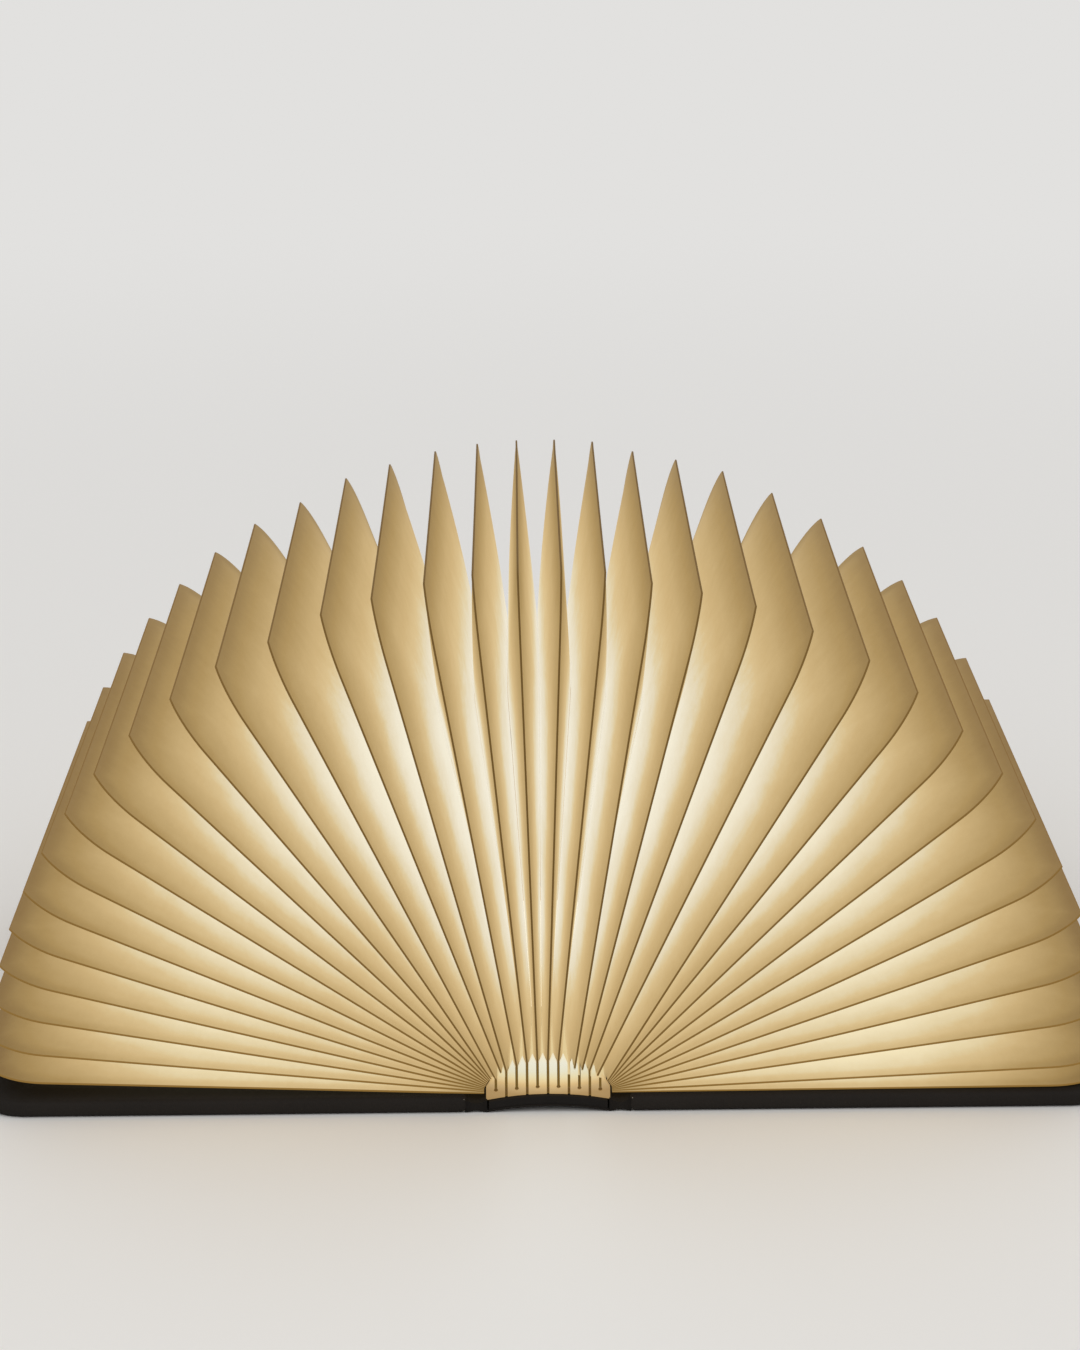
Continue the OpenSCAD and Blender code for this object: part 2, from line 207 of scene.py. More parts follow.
class Graph:
    """The node tree of one material, or of the world."""

    def __init__(self, name: str, world: bool = False) -> None:
        """Start an empty material or world.

        Args:
            name: Its name.
            world: True for a world.
        """
        self.owner = bpy.data.worlds.new(name) if world else bpy.data.materials.new(name)
        self.owner.use_nodes = True
        self.tree = self.owner.node_tree
        self.tree.nodes.clear()

    def node(
        self,
        kind: str,
        settings: dict[str, object] | None = None,
        values: dict[str | int, object] | None = None,
        output: str | int = 0,
    ) -> Signal:
        """Add a node: its settings first, then the values or links of its sockets.

        Args:
            kind: The node's type.
            settings: Attributes of the node, or "stops" for a ramp.
            values: Numbers, colours or signals by the name or number of the socket.
            output: The socket that the result reads.

        Returns:
            The chosen output.
        """
        made = self.tree.nodes.new(kind)
        for key, value in (settings or {}).items():
            if key == "stops":
                self._stops(made.color_ramp, value)
            else:
                setattr(made, key, value)
        for key, value in (values or {}).items():
            socket = made.inputs[key]
            if isinstance(value, Signal):
                self.tree.links.new(value.socket, socket)
            else:
                socket.default_value = value
        return Signal(self, made.outputs[output]) if made.outputs else Signal(self, None)

    @staticmethod
    def _stops(ramp: bpy.types.ColorRamp, stops: Sequence[tuple[float, Colour]]) -> None:
        """Write a ramp's stops.

        Args:
            ramp: The ramp.
            stops: Places and colours, in rising order.
        """
        while len(ramp.elements) > 1:
            ramp.elements.remove(ramp.elements[-1])
        for index, (place, colour) in enumerate(stops):
            element = ramp.elements[0] if index == 0 else ramp.elements.new(place)
            element.position = place
            element.color = (*colour, 1.0)

    def attribute(self, name: str, vector: bool = False) -> Signal:
        """A mesh attribute, as a number or as a vector."""
        settings = {"attribute_type": "GEOMETRY", "attribute_name": name}
        return self.node("ShaderNodeAttribute", settings, output="Vector" if vector else "Fac")

    def place(self) -> Signal:
        """Position in the piece's own space, in metres."""
        return self.node("ShaderNodeTexCoord", output="Object")

    def noise(self, where: Signal, cells: float, octaves: float = 3.0, rough: float = 0.5) -> Signal:
        """Cloudy noise from 0 to 1, with so many cells in a metre."""
        values = {"Vector": where, "Scale": cells, "Detail": octaves, "Roughness": rough}
        return self.node("ShaderNodeTexNoise", None, values)

    def stretched(self, where: Signal, by: Point) -> Signal:
        """A position, scaled along each axis."""
        return self.node("ShaderNodeVectorMath", {"operation": "MULTIPLY"}, {0: where, 1: by})

    def parts(self, where: Signal) -> tuple[Signal, Signal, Signal]:
        """X, Y and Z of a position."""
        split = self.node("ShaderNodeSeparateXYZ", None, {0: where}).socket.node
        return tuple(Signal(self, output) for output in split.outputs)

    def ramp(self, value: Signal, stops: Sequence[tuple[float, Colour]]) -> Signal:
        """Colour from a value between 0 and 1."""
        return self.node("ShaderNodeValToRGB", {"stops": stops}, {0: value})

    def steps(self, value: Signal, stops: Sequence[tuple[float, float]]) -> Signal:
        """Number from a value between 0 and 1, along straight lines between stops."""
        return self.ramp(value, [(place, (level, level, level)) for place, level in stops]).grey()

    def mix(self, amount: Signal | float, low: object, high: object) -> Signal:
        """Mix of two colours: 0 gives the first, 1 the second."""
        values = {0: amount, 6: self._colour(low), 7: self._colour(high)}
        return self.node("ShaderNodeMix", {"data_type": "RGBA"}, values, 2)

    def tint(self, colour: Signal | Colour, factor: Signal | float) -> Signal:
        """A colour made darker or lighter by a number."""
        return self.node("ShaderNodeVectorMath", {"operation": "SCALE"}, {0: colour, "Scale": factor})

    def product(self, first: Signal, second: Signal) -> Signal:
        """Two colours multiplied."""
        return self.node("ShaderNodeVectorMath", {"operation": "MULTIPLY"}, {0: first, 1: second})

    @staticmethod
    def _colour(value: object) -> object:
        """A colour with its alpha, or the signal itself."""
        return value if isinstance(value, Signal) else (*value, 1.0)

    def bump(self, height: Signal, strength: float, depth: float) -> Signal:
        """Normal from a height between 0 and 1, on a relief of some depth in metres."""
        values = {"Strength": strength, "Distance": depth, "Height": height}
        return self.node("ShaderNodeBump", None, values)

    def surface(self, constants: dict[str, object], links: dict[str, Signal]) -> bpy.types.Material:
        """Close the graph with its shader. A painted glow isn't sampled as a lamp.

        Args:
            constants: Values that are the same all over.
            links: Signals for the sockets that change over the surface.

        Returns:
            The finished material.
        """
        shader = self.node("ShaderNodeBsdfPrincipled", None, {**constants, **links})
        material = self.close(shader)
        material.cycles.emission_sampling = "NONE"
        return material

    def seen(self) -> Signal:
        """Tell the rays that show a colour from the rays that carry light.

        Returns:
            1 for rays from the camera, mirrors and glass, 0 for the others.
        """
        names = ("Is Camera Ray", "Is Glossy Ray", "Is Transmission Ray")
        first, second, third = (self.node("ShaderNodeLightPath", output=name) for name in names)
        return first.most(second).most(third)

    def either(self, amount: Signal, first: Signal, second: Signal) -> Signal:
        """Mix of two shaders: 0 gives the first, 1 the second."""
        return self.node("ShaderNodeMixShader", None, {0: amount, 1: first, 2: second})

    def close(self, shader: Signal) -> bpy.types.Material | bpy.types.World:
        """Link a shader to the output.

        Args:
            shader: The shader.

        Returns:
            The finished material or world.
        """
        world = isinstance(self.owner, bpy.types.World)
        self.node("ShaderNodeOutputWorld" if world else "ShaderNodeOutputMaterial", None, {0: shader})
        return self.owner


# Finishes


def comb_top(x: Signal) -> Signal:
    """Height of the comb's prongs, in millimetres, at a place across the spine in metres."""
    return PRONG_TOP - PRONG_FALL * (x / MM) ** 2.0 - PRONG_BEND * (x / MM) ** 4.0


@dataclass(frozen=True)
class GlowingSheet:
    """Translucent fibre sheet, with the light behind it painted as its colour and glow.

    The painted light is brightest in the valleys and half way out, and dims towards the fore edge. The
    tones turn brightness into colour. Brightness comes from the place on the leaf: "outward" by
    the distance from the root, "inward" by the way from rim to valley, less of it "near" the root,
    and "spread" more of it on the pages that lie low.
    """

    name: str = "glowing_sheet"
    glow_share: float = 0.66
    paper_share: float = 0.36
    roughness: float = 0.72
    specular: float = 0.22

    # Painted shade along the glued rim, where the light comes through two layers of sheet
    rim_shade: Colour = (0.140, 0.078, 0.017)
    rim_shade_width: Step = (0.17, 0.09)

    # The shade behind the comb, and at the foot of the pages that lie low
    shade: Colour = (0.19, 0.115, 0.025)
    shade_depth: Step = (1.5, 0.5)
    shade_reach: float = 9.6
    light_slope: float = 0.3
    lying: Step = (0.7, 0.15)
    foot: Step = (0.05, 0.05)
    foot_shade: float = 0.28

    # The warmer light on the brightest parts of the pages that lie low
    white: Colour = (1.0, 1.0, 1.0)
    warmth: Colour = (1.0, 0.93, 0.74)
    bright: Step = (0.90, 0.03)

    # Grain, in cells to the metre, and its weight in the brightness
    cloud_cells: float = 55.0
    cloud_weight: float = 0.03
    fibre_cells: float = 900.0
    fibre_pull: Point = (1.0, 0.35, 1.0)
    fibre_weight: float = 0.022
    swirl_cells: float = 260.0
    swirl_weight: float = 0.035
    relief: float = 0.0002

    # Brightness of the painted light, and its colour
    tones: Tones = (
        (0.40, (0.115, 0.062, 0.018)),
        (0.51, (0.223, 0.133, 0.046)),
        (0.63, (0.352, 0.235, 0.090)),
        (0.706, (0.456, 0.314, 0.126)),
        (0.784, (0.578, 0.423, 0.198)),
        (0.843, (0.680, 0.515, 0.262)),
        (0.882, (0.752, 0.598, 0.335)),
        (0.902, (0.790, 0.690, 0.470)),
        (0.918, (0.820, 0.755, 0.600)),
        (0.95, (0.880, 0.840, 0.730)),
        (1.0, (0.955, 0.930, 0.830)),
    )
    outward: Stops = (
        (0.0, 0.745), (0.10, 0.755), (0.22, 0.745), (0.34, 0.727), (0.46, 0.732),
        (0.62, 0.73), (0.76, 0.705), (0.90, 0.70), (1.0, 0.635),
    )
    inward: Stops = (
        (0.0, 0.0), (0.05, 0.015), (0.15, 0.055), (0.32, 0.115), (0.55, 0.17), (0.80, 0.20), (1.0, 0.22)
    )
    near: Stops = (
        (0.0, 0.60), (0.06, 0.68), (0.12, 0.78), (0.20, 0.88), (0.30, 0.95), (0.45, 1.0), (1.0, 1.0)
    )
    spread: Stops = (
        (0.0, 0.18), (0.1, 0.23), (0.3, 0.25), (0.5, 0.25), (0.62, 0.235),
        (0.76, 0.19), (0.9, 0.07), (1.0, 0.03),
    )

    # What the spread loses everywhere, and gets back past the rim
    spread_loss: float = 0.14
    spread_inside: float = 0.04
    inside: Step = (0.08, 0.05)

    def _level(self, g: Graph, reach: Signal, share: Signal, low: Signal) -> Signal:
        """Brightness of the painted light, from the place on the leaf.

        Args:
            g: The sheet's graph.
            reach: Distance from the root, 1 at the fore edge.
            share: Way from the rim, 0, to the valley, 1.
            low: 0 for an upright page, 1 for one that lies on its cover.

        Returns:
            The brightness, 0 to 1.
        """
        within = g.steps(share, self.inward) * g.steps(reach, self.near)
        past_rim = self.spread_inside * share.above(*self.inside)
        gain = g.steps(reach, self.spread) - self.spread_loss + past_rim
        return g.steps(reach, self.outward) + within + low * gain

    def _behind_comb(self, g: Graph, rest: Signal) -> Signal:
        """Where a sheet stands in the shade behind the blocks of a comb.

        Args:
            g: The sheet's graph.
            rest: Each point's place at rest.

        Returns:
            1 in the shade, 0 in the open.
        """
        x, y, z = g.parts(rest)
        away = y.most(-y) / MM
        below = comb_top(x) - z / MM - self.light_slope * (COMB_FACE - away)
        return below.above(*self.shade_depth) * away.above(COMB_FACE - self.shade_reach, 1.0)

    def material(self) -> bpy.types.Material:
        """Build the sheet's material.

        Returns:
            The material.
        """
        g = Graph(self.name)
        rest = g.attribute("rest", vector=True)
        reach, share, low = g.attribute("reach"), g.attribute("share"), g.attribute("low")
        cloud = g.noise(rest, self.cloud_cells, octaves=2.0)
        pulled = g.stretched(rest, self.fibre_pull)
        fibre = g.noise(pulled, self.fibre_cells, octaves=4.0, rough=0.65)
        swirl = g.noise(rest, self.swirl_cells, octaves=5.0, rough=0.6)
        level = self._level(g, reach, share, low) + self.cloud_weight * cloud.swing()
        level = level + self.fibre_weight * fibre.swing() + self.swirl_weight * swirl.swing()
        warm = g.mix(low * level.above(*self.bright), self.white, self.warmth)
        lit = g.product(g.ramp(level, self.tones), warm)
        # Painted shade on the glued rim, a little lighter on the pages that lie low
        rim_shade = 1.0 - g.attribute("edge_mm").above(*self.rim_shade_width)
        lit = g.mix(rim_shade, lit, g.tint(self.rim_shade, 1.0 + low))
        foot = low.above(*self.lying) * (1.0 - reach.above(*self.foot))
        dim = self._behind_comb(g, rest).most(self.foot_shade * foot)
        lit = g.mix(dim, lit, self.shade)
        return g.surface(
            {
                "Roughness": self.roughness,
                "Specular IOR Level": self.specular,
                "Emission Strength": 1.0,
            },
            {
                "Base Color": g.tint(lit, self.paper_share),
                "Emission Color": g.tint(lit, self.glow_share),
                "Normal": g.bump(fibre * 0.6 + swirl * 0.4, strength=0.25, depth=self.relief),
            },
        )


@dataclass(frozen=True)
class MilkyPlastic:
    """Milky moulded plastic, its light from inside painted on: cream at its foot, white above, painted shade
    in its slots.
    """

    name: str
    face: float
    # Painted glow, rising from the foot at "low" to the prong tips at "high", dimmer towards the sides,
    # "half" out
    low: float = 3.0
    high: float = 11.0
    half: float = 12.0
    glow_share: float = 0.72
    base_share: float = 0.28
    roughness: float = 0.42
    specular: float = 0.35
    side_drop: float = 0.16
    side_shade: float = 0.12
    cloud_cells: float = 700.0
    cloud_weight: float = 0.05
    grain_cells: float = 2600.0
    relief: float = 0.0001
    # Painted shade on the inner walls of the slots
    slot: Colour = (0.16, 0.085, 0.02)
    slot_shade_depth: Step = (0.42, 0.28)
    slot_shade_below: Step = (2.3, 0.4)
    tones: Tones = (
        (0.0, (0.50, 0.32, 0.13)),
        (0.15, (0.62, 0.43, 0.20)),
        (0.25, (0.76, 0.53, 0.24)),
        (0.35, (0.86, 0.67, 0.35)),
        (0.45, (0.87, 0.76, 0.46)),
        (0.60, (0.86, 0.82, 0.62)),
        (0.80, (0.89, 0.86, 0.70)),
        (1.0, (0.94, 0.88, 0.66)),
    )

    def material(self) -> bpy.types.Material:
        """Build the plastic's material.

        Returns:
            The material.
        """
        g = Graph(self.name)
        where = g.place()
        x, y, z = g.parts(where)
        rise = (z / MM - self.low) / (self.high - self.low)
        off = (x / (self.half * MM)) ** 2.0
        cloud = g.noise(where, self.cloud_cells)
        tone = rise - self.side_drop * off + self.cloud_weight * cloud.swing()
        lit = g.tint(g.ramp(tone, self.tones), 1.0 - self.side_shade * off)
        deep = abs(self.face) - y * (math.copysign(1.0, self.face) / MM)
        # Painted shade in the slots, behind the face and below the prong tips
        inner = deep.above(*self.slot_shade_depth) * (comb_top(x) - z / MM).above(*self.slot_shade_below)
        lit = g.mix(inner, lit, self.slot)
        grain = g.noise(where, self.grain_cells, octaves=2.0)
        return g.surface(
            {
                "Roughness": self.roughness,
                "Specular IOR Level": self.specular,
                "Emission Strength": 1.0,
            },
            {
                "Base Color": g.tint(lit, self.base_share),
                "Emission Color": g.tint(lit, self.glow_share),
                "Normal": g.bump(grain, strength=0.12, depth=self.relief),
            },
        )


@dataclass(frozen=True)
class BookCloth:
    """Fine woven book cloth, sized and black, a little worn where it folds."""

    name: str = "black_book_cloth"
    thread: Colour = (0.0095, 0.0078, 0.0066)
    worn: Colour = (0.030, 0.025, 0.021)
    pitch: float = 0.42
    specular: float = 0.13
    drift_cells: float = 380.0
    drift_turn: float = 1.6
    slub_cells: float = 1500.0
    slub_pull: Point = (1.0, 0.12, 1.0)
    cloud_cells: float = 45.0
    least_rub: float = 0.35
    cloud_rub: float = 0.9
    plain_shade: float = 0.72
    weave_shade: float = 0.36
    slub_shade: float = 0.3
    cloud_shade: float = 0.25
    roughness: float = 0.7
    weave_roughness: float = 0.14
    cloud_roughness: float = 0.1
    relief: float = 0.00012

    def material(self) -> bpy.types.Material:
        """Build the cloth's material.

        Returns:
            The material.
        """
        g = Graph(self.name)
        rest = g.attribute("rest", vector=True)
        x, y, z = g.parts(rest)
        drift = g.noise(rest, self.drift_cells, octaves=2.0) * self.drift_turn
        turn = 2 * math.pi / (self.pitch * MM)
        warp = ((x + z) * turn + drift).wave()
        weft = ((y - z) * turn + drift).wave()
        weave = (warp * weft) * 0.5 + 0.5
        slub = g.noise(g.stretched(rest, self.slub_pull), self.slub_cells)
        cloud = g.noise(rest, self.cloud_cells)
        rub = g.attribute("wear") * (self.least_rub + self.cloud_rub * cloud)
        shade = self.plain_shade + self.weave_shade * weave
        shade = shade + self.slub_shade * slub.swing() + self.cloud_shade * cloud.swing()
        rough = self.roughness + self.weave_roughness * weave + self.cloud_roughness * cloud.swing()
        return g.surface(
            {"Specular IOR Level": self.specular},
            {
                "Base Color": g.mix(rub, g.tint(self.thread, shade), self.worn),
                "Roughness": rough,
                "Normal": g.bump(weave * 0.7 + slub * 0.5, strength=0.55, depth=self.relief),
            },
        )


@dataclass(frozen=True)
class LinedCore:
    """Black flexible strip with a pale liner on its top, lit by the lamp in painted glow, with painted shade
    behind the combs.
    """

    name: str = "lined_core"
    black: Colour = (0.010, 0.0085, 0.0075)
    unlit: Colour = (0.0, 0.0, 0.0)
    # The liner as the lamp lights it, painted partly as glow, with painted shade on it behind the combs,
    # from "half" out to "outer"
    liner: Colour = (0.84, 0.70, 0.40)
    comb_shade: Colour = (0.19, 0.115, 0.025)
    half: float = 49.0
    outer: float = 58.0
    edge_softness: float = 1e-5
    skin: Step = (-0.12, 0.04)
    glow_share: float = 0.7
    base_share: float = 0.3
    roughness: float = 0.7
    specular: float = 0.15
    grain_cells: float = 700.0
    relief: float = 0.00008

    def _within(self, y: Signal, half: float) -> Signal:
        """1 within so many millimetres of the middle of the spine, 0 past them."""
        return 1.0 - (y * y).above((half * MM) ** 2, self.edge_softness)

    def material(self) -> bpy.types.Material:
        """Build the core's material.

        Returns:
            The material.
        """
        g = Graph(self.name)
        where = g.place()
        x, y, z = g.parts(where)
        level = z / MM - (STRIP_TOP - STRIP_FALL * (x / MM) ** 2.0)
        lined = level.above(*self.skin) * self._within(y, self.outer)
        grain = g.noise(where, self.grain_cells, octaves=4.0, rough=0.6)
        # The liner's painted light, with painted shade behind the combs
        pale = g.tint(g.mix(self._within(y, self.half), self.comb_shade, self.liner), 0.94 + 0.12 * grain)
        black = g.tint(self.black, 0.8 + 0.4 * grain)
        return g.surface(
            {
                "Roughness": self.roughness,
                "Specular IOR Level": self.specular,
                "Emission Strength": 1.0,
            },
            {
                "Base Color": g.mix(lined, black, g.tint(pale, self.base_share)),
                "Emission Color": g.mix(lined, self.unlit, g.tint(pale, self.glow_share)),
                "Normal": g.bump(grain, strength=0.4, depth=self.relief),
            },
        )


@dataclass(frozen=True)
class PlainFinish:
    """A finish for a small hard part: a colour with grain, grime and relief of its own."""

    name: str
    colour: Colour
    grain: float = 900.0
    depth: float = 0.00005
    roughness: float = 0.5
    metallic: float = 0.0
    variety: float = 0.14
    stretch: Point = (1.0, 1.0, 1.0)
    # Glow of a lamp's own emitters, or painted glow of a part that the lamp lights; 0 for none
    glow: float = 0.0
    cloud_ratio: float = 0.12
    roughness_swing: float = 0.18

    def material(self) -> bpy.types.Material:
        """Build the finish.

        Returns:
            The finish as a material.
        """
        g = Graph(self.name)
        where = g.stretched(g.place(), self.stretch)
        fine = g.noise(where, self.grain, octaves=4.0, rough=0.6)
        cloud = g.noise(where, self.grain * self.cloud_ratio, octaves=2.0)
        links = {
            "Base Color": g.tint(self.colour, 1.0 + self.variety * ((fine + cloud) - 1.0)),
            "Roughness": self.roughness + self.roughness_swing * fine.swing(),
            "Normal": g.bump(fine, strength=0.4, depth=self.depth),
        }
        constants: dict[str, object] = {"Metallic": self.metallic}
        if self.glow:
            constants["Emission Strength"] = self.glow
            links["Emission Color"] = g.tint(self.colour, 0.85 + 0.15 * fine)
        return g.surface(constants, links)


# Mesh drafting


@dataclass
class Draft:
    """A mesh in the making: points in millimetres, faces, and numbers carried by the points.

    The weights say how far each point follows the second of two bodies that the piece bends with.
    """

    name: str
    points: list[Point] = field(default_factory=list)
    faces: list[tuple[int, ...]] = field(default_factory=list)
    numbers: dict[str, list[float]] = field(default_factory=dict)
    weights: list[float] = field(default_factory=list)

    def add(self, point: Sequence[float], **numbers: float) -> int:
        """Add a point.

        Args:
            point: Its place in millimetres.
            numbers: Values for its attributes.

        Returns:
            Its index.
        """
        self.points.append((point[0], point[1], point[2]))
        for key, value in numbers.items():
            self.numbers.setdefault(key, []).append(value)
        return len(self.points) - 1

    def bridge(self, rows: Sequence[Sequence[int]], closed: bool) -> None:
        """Join each row of points to the next with quads.

        Args:
            rows: Rows of the same length.
            closed: True if each row is a ring.
        """
        for first, second in zip(rows, rows[1:]):
            count = len(first)
            for i in range(count if closed else count - 1):
                j = (i + 1) % count
                self.faces.append((first[i], first[j], second[j], second[i]))

    def tube(self, rows: Sequence[Sequence[int]]) -> None:
        """Join rings of points, and close the first and the last with a face."""
        self.bridge(rows, closed=True)
        self.faces += [tuple(rows[0]), tuple(rows[-1])]

    def make(self, smooth: float = 40.0) -> bpy.types.Object:
        """Write the mesh in metres.

        Args:
            smooth: Angle in degrees below which neighbouring faces are shaded as one.

        Returns:
            The object, in the scene.
        """
        mesh = bpy.data.meshes.new(self.name)
        mesh.from_pydata([tuple(c * MM for c in p) for p in self.points], [], self.faces)
        for key, values in self.numbers.items():
            layer = mesh.attributes.new(key, "FLOAT", "POINT")
            layer.data.foreach_set("value", np.array(values, np.float32))
        made = bpy.data.objects.new(self.name, mesh)
        bpy.context.scene.collection.objects.link(made)
        settle(made, smooth)
        return made


def settle(made: bpy.types.Object, smooth: float) -> None:
    """Make the normals point outward, smooth the shading and store the rest places.

    Args:
        made: The object.
        smooth: Angle in degrees below which neighbouring faces are shaded as one.
    """
    mesh = made.data
    draft = bmesh.new()
    draft.from_mesh(mesh)
    bmesh.ops.recalc_face_normals(draft, faces=draft.faces)
    for face in draft.faces:
        face.smooth = True
    for edge in draft.edges:
        if len(edge.link_faces) == 2:
            edge.smooth = edge.calc_face_angle(0.0) < math.radians(smooth)
    draft.to_mesh(mesh)
    draft.free()
    keep_rest(mesh)


def keep_rest(mesh: bpy.types.Mesh) -> None:
    """Store each point's place at rest, so that a texture stays put when the mesh bends.

    Args:
        mesh: The mesh.
    """
    places = np.zeros(len(mesh.vertices) * 3, np.float32)
    mesh.vertices.foreach_get("co", places)
    layer = mesh.attributes.get("rest") or mesh.attributes.new("rest", "FLOAT_VECTOR", "POINT")
    layer.data.foreach_set("vector", places)


def dress(made: bpy.types.Object, material: bpy.types.Material) -> None:
    """Give a piece one material."""
    made.data.materials.clear()
    made.data.materials.append(material)


def set_weights(made: bpy.types.Object, weights: Sequence[float]) -> None:
    """Write how far each point of a bending piece follows its second body."""
    layer = made.data.attributes["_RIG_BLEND"]
    layer.data.foreach_set("value", np.array(weights, np.float32))


def thicken(made: bpy.types.Object, name: str, skin: float) -> None:
    """Give a skin its thickness, inward.

    Args:
        made: The piece.
        name: Name of the modifier.
        skin: The thickness in millimetres.
    """
    shell = made.modifiers.new(name, "SOLIDIFY")
    shell.thickness = skin * MM
    shell.offset = -1.0


# The fan of leaves


@dataclass(frozen=True)
class Slip:
    """A page that has slipped out of its slot: how far along the comb, and its notch's depth."""

    page: int
    along: float
    notch: float


@dataclass(frozen=True)
class FanLaw:
    """Where each page stands, as in the solids: whole numbers are rims, halves are valleys.

    Pages up to the right stack's last lie beside the comb on the right, the next ones stand in the
    comb, and the rest lie beside it on the left.
    """

    # Numbers of the pages
    pages: int = 33
    right_stack: int = 10
    upright: int = 16
    last_gap: int = 21
    last_in_comb: int = 22

    # The page
    length: float = 94.2
    height: float = 116.5
    fold: float = 31.0
    corner: float = 12.8
    corner_turn: float = 58.5
    valley_corner: float = 2.0
    clear: float = 0.03

    # The comb, and the roots in it
    comb_half: float = 11.7
    shoulder: float = 4.3
    shoulder_slope: float = 0.61
    block_pitch: float = 3.94
    slot_foot: float = 4.9
    slot_seat: float = 1.2
    valley_foot: float = 3.4
    inlet_roof: float = 8.35
    inlet_pages: float = 2.6

    # The roots in the stacks beside the comb
    stack_foot: float = 0.12
    stack_off: float = 0.25
    stack_start: float = 0.15
    right_pitch: float = 0.2
    left_pitch: float = 0.25
    bond: float = 0.02

    # Angles in degrees
    first_angle: float = 2.6
    fan_angle: float = 171.7
    bonded_angle: float = 0.25
    end_lift: float = 2.1
    waves: tuple[float, ...] = (5.1, 2.32, 1.27, -2.64, -0.57, 0.29)

    # Pages out of their slots
    notch_seat: float = 0.15
    slip_start: float = 0.1
    leaning: int = 20
    slips: tuple[Slip, ...] = (
        Slip(11, -0.55, 1.3), Slip(13, 0.55, 2.1), Slip(14, 1.1, 2.3), Slip(21, 0.98, 0.9)
    )

    def slipped(self, k: float) -> Slip | None:
        """The slip of a page, or None for a page that sits in its slot or gap."""
        return next((slip for slip in self.slips if slip.page == k), None)

    def in_comb(self, k: float) -> bool:
        """True for a plane that stands in the comb, and not in a stack beside it."""
        return self.right_stack < k < self.last_in_comb + 1

    def _over_inlet(self, k: float, end: End) -> bool:
        """True for a plane that ends above the inlet."""
        return end is End.TAIL and abs(k - self.upright) < self.inlet_pages

    def inside(self, k: float) -> float:
        """Angle of a free page in degrees above the right cover.

        Args:
            k: The plane's number.

        Returns:
            The angle. A slipped page on the right leans back, so that its fore edge stays in place.
        """
        u = (k - 1) / (self.pages - 1)
        ripple = sum(a * math.sin(math.pi * (i + 1) * u) for i, a in enumerate(self.waves))
        even = self.first_angle + self.fan_angle * u + ripple
        slip = self.slipped(k)
        if slip is None or k >= self.leaning:
            return even
        return even + math.degrees(math.asin(slip.along * math.sin(math.radians(even)) / self.length))

    def angle(self, k: float) -> float:
        """Angle of any plane of the fan, end leaves among them.

        Args:
            k: The plane's number.

        Returns:
            Degrees above the right cover.
        """
        last = self.pages
        if k < 0:
            return 0.0
        if k > last + 1:
            return 180.0
        if k < 1:
            return self.bonded_angle + (self.inside(1) - self.bonded_angle) * k
        if k > last:
            end = 180.0 - self.end_lift
            return self.inside(last) + (end - self.inside(last)) * (k - last)
        return self.inside(k)

    def tip(self, x: float) -> float:
        """Height of the prongs at x."""
        return PRONG_TOP - PRONG_FALL * x * x - PRONG_BEND * x**4

    def side(self, z: float) -> float:
        """Outer side of the comb at height z."""
        return self.comb_half - self.shoulder_slope * max(0.0, z - self.shoulder)

    def _stack(self, j: float, pitch: float) -> tuple[float, float]:
        """Root of the j-th page stacked beside the comb.

        Args:
            j: Its number from the cover, below 0 for the cover itself.
            pitch: Height from one root to the next.

        Returns:
            X and Z on the right side.
        """
        if j < 0:
            z = COVER_THICK + self.bond
        else:
            first = (self.stack_foot + pitch) * min(j, 1.0)
            z = COVER_THICK + self.stack_foot + first + pitch * max(0.0, j - 1)
        return self.side(z) + self.stack_off, z

    def _rim_root(self, k: int) -> tuple[float, float]:
        """Root of a rim.

        Args:
            k: Number of the page.

        Returns:
            X and Z.
        """
        if k <= self.right_stack:
            return self._stack(k, self.right_pitch)
        if k <= self.last_in_comb:
            slip = self.slipped(k)
            place = self.upright - min(k, self.last_gap)
            x = place * self.block_pitch / 2 + (slip.along if slip else 0.0)
            return x, self.tip(x) - (slip.notch - self.notch_seat if slip else self.slot_seat)
        x, z = self._stack(self.pages + 1 - k, self.left_pitch)
        return -x, z

    def root(self, k: float) -> tuple[float, float]:
        """Root of any plane.

        Args:
            k: The plane's number.

        Returns:
            X and Z.
        """
        if k < 0:
            return self._stack(-1, self.right_pitch)
        if k > self.pages + 1:
            x, z = self._stack(-1, self.left_pitch)
            return -x, z
        if k == math.floor(k):
            return self._rim_root(int(k))
        a, b = self._rim_root(math.floor(k)), self._rim_root(math.ceil(k))
        return (a[0] + b[0]) / 2, (a[1] + b[1]) / 2

    def _rim_start(self, k: int, end: End) -> float:
        """Where a rim begins along the page.

        Args:
            k: Number of the page.
            end: The end of the spine.

        Returns:
            Distance from the root, below 0 for a tail that hangs in the comb.
        """
        if not self.in_comb(k):
            return self.stack_start
        if self.slipped(k):
            return self.slip_start
        foot = self.inlet_roof if self._over_inlet(k, end) else self.slot_foot
        return foot - self._rim_root(k)[1]

    def start(self, k: float, end: End) -> float:
        """Where any plane begins along the page.

        Args:
            k: The plane's number.
            end: The end of the spine.

        Returns:
            Distance from the root.
        """
        if k < 0 or k > self.pages + 1:
            return self.stack_start
        if k == math.floor(k):
            return self._rim_start(int(k), end)
        if end is End.HEAD and self.in_comb(k):
            return self.valley_foot - self.root(k)[1]
        if self._over_inlet(k, end):
            return self.inlet_roof - self.root(k)[1]
        return (self._rim_start(math.floor(k), end) + self._rim_start(math.ceil(k), end)) / 2

